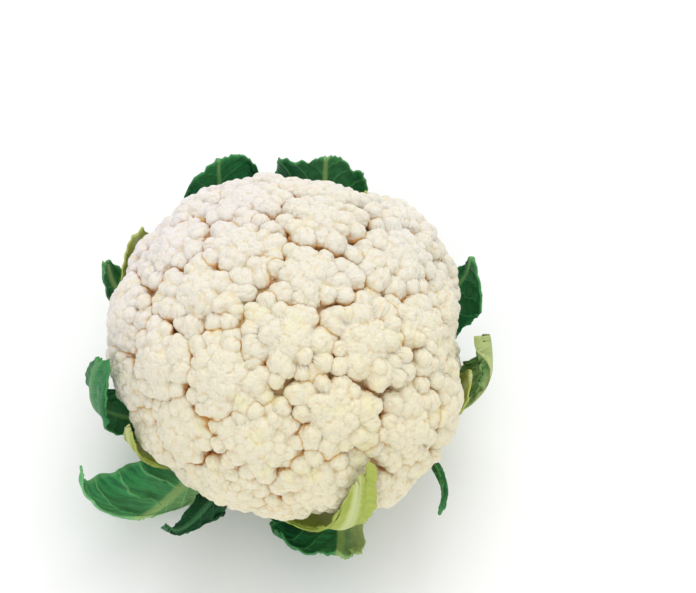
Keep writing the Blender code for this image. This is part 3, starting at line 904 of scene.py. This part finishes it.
def leaf_finish(
    name, blade, blade_pale, vein_colour, rib_colour, root_colour,
    waxy, rib_seen, root_reach, veined=0.75, rib_outside=1.0, pale_right=0.0,
):
    """Waxy green blade with a net of pale veins, and a paler midrib, root and torn edge."""
    made, start, shader = start_finish(name)
    spot = start.own("place", "Vector")
    across = spot.axis("X")
    cloud = spot.noise(60.0, 4.0)
    grain = spot.noise(900.0, 2.0)
    net = start.node(
        "ShaderNodeTexVoronoi", {"feature": "DISTANCE_TO_EDGE"}, {"Vector": spot, "Scale": 230.0}
    )
    bent = start.node("ShaderNodeTexNoise", {"noise_dimensions": "2D"}, {"Vector": spot, "Scale": 90.0})
    turn = vein_turns(across, spot.axis("Y"), VEIN_SPACING) + (bent - 0.5) * 0.5
    vein = 1 - (turn.math("PINGPONG", 0.5) * VEIN_SPACING).ease(0.0001, 0.0006)
    small = 1 - net.ease(0.01, 0.07)
    rib = start.own("rib")
    edge = start.own("edge")
    inside = start.own("inner_face")
    band = rib.ease(*rib_seen) * inside + rib.ease(0.30, 0.95) * (1 - inside) * rib_outside
    fade = (across.math("ABSOLUTE") + (cloud - 0.5) * 0.012).ease(0.004, 0.022)
    green = cloud.ease(0.36, 0.64).tint(blade, blade_pale)
    green = ((1 - fade) * 0.30).tint(green, vein_colour)
    green = ((1 - inside) * 0.15).tint(green, vein_colour)
    green = (small * veined * 0.35).tint(green, vein_colour)
    green = (vein * veined).tint(green, vein_colour)
    green = (edge * 0.55).tint(green, vein_colour)
    green = band.tint(green, (grain.ease(0.4, 0.7) * 0.25).tint(rib_colour, root_colour))
    if pale_right:
        bruise = (across + (cloud - 0.5) * 0.004).ease(-0.003, 0.009) * pale_right
        green = bruise.tint(green, root_colour)
    green = (1 - (spot.axis("Z") + (cloud - 0.5) * 0.35).ease(*root_reach)).tint(green, root_colour)
    relief = band * 0.4 + (vein * 0.8 + small * 0.33) * veined + grain * 0.15
    surface(shader, green, waxy + cloud * 0.16 + band * 0.10, LEAF_SOAKING, (0.7, 0.0006, relief))
    shader["Specular IOR Level"].default_value = LEAF_GLOSS
    return made


def hang_leaf(whorl, leaf, finish):
    """Makes a leaf of a whorl, puckers its blade, and puts it in the place of its solid."""
    name, azimuth, length, changes = leaf
    piece = make_leaf(name + "_leaf", whorl, azimuth, length, changes)
    grown(piece, PUCKERS, vein_spacing=VEIN_SPACING, pucker_height=PUCKER_HEIGHT[whorl], finish=finish)
    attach(piece, "root")
    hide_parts("leaf_" + name)


PUCKERS = puckers_tree()
INNER_GREEN = leaf_finish(
    "inner leaf", (0.24, 0.39, 0.03, 1), (0.38, 0.47, 0.08, 1), (0.50, 0.52, 0.14, 1),
    (0.56, 0.62, 0.28, 1), (0.56, 0.60, 0.27, 1),
    waxy=0.40, rib_seen=(-0.2, 1.3), root_reach=(0.05, 0.75), veined=0.25,
)
for leaf in INNER_LEAVES:
    hang_leaf("inner", leaf, INNER_GREEN)


# The middle leaves. Broader and greener than the inner ones, they stand a little off the head. Their
# thick round midribs are pale green, and the blades were hacked short or torn into strips.
MIDDLE_LEAVES = (
    ("middle_left", 196, 0.106, dict(
        base=0.0105, left=0.019, right=0.014, tip=0.40, cut=0.20, lean=-0.0005,
        curl_left=0.2, curl_right=0.1, wave=0.0008)),
    ("middle_front", 244, 0.070, dict(
        base=0.0090, left=0.0075, right=0.0065, tip=0.35, cut=-0.15, lean=0.009, sweep=-4,
        curl_left=0.4, curl_right=0.3, wave=0.002)),
    ("middle_strip", 346, 0.061, dict(
        base=0.0058, left=0.0032, right=0.0032, rib=0.5, tip=0.0, lean=0.007, lean_start=0.2,
        sweep=-30, late=2.5, curl_left=0.1, curl_right=0.1, wave=0.0004, torn=0.15)),
    ("middle_right", 32, 0.086, dict(
        base=0.0105, left=0.020, right=0.014, tip=0.25, lean=0.0005, cut=-0.12, sweep=-6,
        curl_left=0.2, curl_right=0.2, wave=0.001)),
    ("middle_back", 108, 0.096, dict(left=0.024, right=0.018, tip=0.20, lean=0.005)),
)
MIDDLE_GREEN = leaf_finish(
    "middle leaf", (0.002, 0.065, 0.022, 1), (0.008, 0.15, 0.046, 1), (0.08, 0.36, 0.11, 1),
    (0.16, 0.40, 0.13, 1), (0.40, 0.56, 0.20, 1),
    waxy=0.30, rib_seen=(0.84, 1.0), root_reach=(0.05, 0.24), veined=0.60, rib_outside=0.35,
)
# The front middle leaf hangs in shade under the head. Its darker copy of the middle finish is partly a dried
# leaf and partly painted shade.
MIDDLE_DRIED_AND_SHADED = leaf_finish(
    "middle leaf, dried", (0.001, 0.016, 0.008, 1), (0.004, 0.060, 0.022, 1), (0.03, 0.17, 0.06, 1),
    (0.05, 0.20, 0.08, 1), (0.20, 0.34, 0.14, 1),
    waxy=0.30, rib_seen=(0.84, 1.0), root_reach=(0.05, 0.24), veined=0.60, rib_outside=0.35,
)
for leaf in MIDDLE_LEAVES:
    hang_leaf("middle", leaf, MIDDLE_DRIED_AND_SHADED if leaf[0] == "middle_front" else MIDDLE_GREEN)


# The outer leaves. The oldest and toughest, dark blue-green with a grey waxy bloom. They spread from
# the foot of the stem on heavy ribs and cup up round the head where the knife left them.
OUTER_LEAVES = (
    ("outer_front", 305, 0.054, dict(
        base=0.0075, left=0.030, right=0.009, lean=0.004, lean_start=0.3, sweep=-18,
        curl_left=-0.9, curl_right=-0.2, tip=0.05, cut=0.12, wave=0.0022)),
    ("outer_front_left", 224, 0.053, dict(
        left=0.020, right=0.007, lean=0.018, lean_start=0.45,
        curl_left=-0.9, curl_right=-0.6, tip=-0.10, cut=-0.55, wave=0.002)),
    ("outer_right", 342, 0.090, dict(
        base=0.0075, left=0.009, right=0.010, rib=1.2, lean=-0.0045, lean_start=0.15, sweep=16,
        curl_left=-0.1, curl_right=0.2, tip=0.30, wave=0.001)),
    ("outer_back", 78, 0.084, dict(
        left=0.022, right=0.026, lean=0.007, curl_left=-0.3, curl_right=0.5, tip=0.10)),
    ("outer_left", 151, 0.078, dict(
        left=0.009, right=0.009, lean=-0.003, curl_left=0.3, curl_right=0.3, tip=0.25)),
)
OUTER_GREEN = leaf_finish(
    "outer leaf", (0.003, 0.085, 0.032, 1), (0.016, 0.19, 0.062, 1), (0.12, 0.38, 0.14, 1),
    (0.30, 0.48, 0.18, 1), (0.44, 0.58, 0.24, 1),
    waxy=0.28, rib_seen=(0.72, 1.0), root_reach=(0.05, 0.36), rib_outside=0.7,
)
OUTER_EDGED = leaf_finish(
    "outer leaf, pale on its right", (0.002, 0.045, 0.020, 1), (0.010, 0.15, 0.045, 1),
    (0.09, 0.34, 0.11, 1), (0.26, 0.44, 0.14, 1), (0.46, 0.56, 0.21, 1),
    waxy=0.24, rib_seen=(0.70, 1.0), root_reach=(0.05, 0.36), veined=0.55, pale_right=0.85,
)
OUTER_FRESH = leaf_finish(
    "outer leaf, fresh", (0.005, 0.12, 0.045, 1), (0.050, 0.36, 0.12, 1), (0.22, 0.56, 0.22, 1),
    (0.34, 0.56, 0.20, 1), (0.42, 0.60, 0.22, 1),
    waxy=0.24, rib_seen=(0.70, 1.0), root_reach=(0.05, 0.36), pale_right=0.6,
)
OUTER_PALE = leaf_finish(
    "outer leaf, pale", (0.03, 0.20, 0.05, 1), (0.10, 0.30, 0.07, 1), (0.32, 0.50, 0.17, 1),
    (0.50, 0.60, 0.24, 1), (0.56, 0.63, 0.27, 1),
    waxy=0.36, rib_seen=(0.30, 0.95), root_reach=(0.45, 0.95), veined=0.50,
)
OUTER_FINISH = {"outer_front": OUTER_EDGED, "outer_front_left": OUTER_FRESH, "outer_right": OUTER_PALE}
for leaf in OUTER_LEAVES:
    hang_leaf("outer", leaf, OUTER_FINISH.get(leaf[0], OUTER_GREEN))


# The studio. A matt white floor and a white surround, lit from above by wide soft lamps, so that
# the head stands in an even light with only a soft shadow under its leaves.
IMAGE_WIDTH = 696
IMAGE_HEIGHT = 593
ELEVATION = math.radians(60)
CAMERA_DISTANCE = 0.72
CAMERA_LENS = 85
CAMERA_AIM = Vector((0, 0, 0.070))
HEAD_PLACE = (281.5, 344)
FLOOR_REACH = 3.0
FLOOR_WHITE = (0.92, 0.92, 0.92, 1)
FLOOR_ROUGHNESS = 0.9
LAMP_AIM = Vector((0, 0, 0.05))
LAMP_SIZE = 1.2
BACK_LAMP = ((0.10, 0.80, 1.30), 8.5)
FRONT_LAMP = ((-0.15, -1.3, 1.0), 4.5)
SURROUND_WHITE = (1, 1, 1, 1)
SURROUND_STRENGTH = 0.87


def make_floor():
    far = FLOOR_REACH
    corners = np.array([(-far, -far, 0), (far, -far, 0), (far, far, 0), (-far, far, 0)])
    floor = add_piece("floor", corners, [(0, 1, 2, 3)])
    made, _, shader = start_finish("floor")
    shader["Base Color"].default_value = FLOOR_WHITE
    shader["Roughness"].default_value = FLOOR_ROUGHNESS
    floor.data.materials.append(made)


def make_lamp(name, place, power):
    lamp = bpy.data.lights.new(name, "AREA")
    lamp.shape = "DISK"
    lamp.size = LAMP_SIZE
    lamp.energy = power
    made = bpy.data.objects.new(name, lamp)
    made.location = place
    made.rotation_euler = (LAMP_AIM - Vector(place)).to_track_quat("-Z", "Y").to_euler()
    bpy.context.scene.collection.objects.link(made)


def make_surround():
    world = bpy.data.worlds.new("surround")
    world.use_nodes = True
    background = world.node_tree.nodes["Background"].inputs
    background["Color"].default_value = SURROUND_WHITE
    background["Strength"].default_value = SURROUND_STRENGTH
    bpy.context.scene.world = world


def make_camera():
    camera = bpy.data.objects.new("camera", bpy.data.cameras.new("camera"))
    toward = Vector((0, -math.cos(ELEVATION), math.sin(ELEVATION)))
    camera.data.lens = CAMERA_LENS
    camera.location = CAMERA_AIM + toward * CAMERA_DISTANCE
    camera.rotation_euler = (-toward).to_track_quat("-Z", "Y").to_euler()
    camera.data.shift_x = (IMAGE_WIDTH / 2 - HEAD_PLACE[0]) / IMAGE_WIDTH
    camera.data.shift_y = (HEAD_PLACE[1] - IMAGE_HEIGHT / 2) / IMAGE_WIDTH
    bpy.context.scene.collection.objects.link(camera)
    bpy.context.scene.camera = camera


make_floor()
make_lamp("back lamp", *BACK_LAMP)
make_lamp("front lamp", *FRONT_LAMP)
make_surround()
make_camera()
bpy.context.scene.view_settings.view_transform = "Standard"
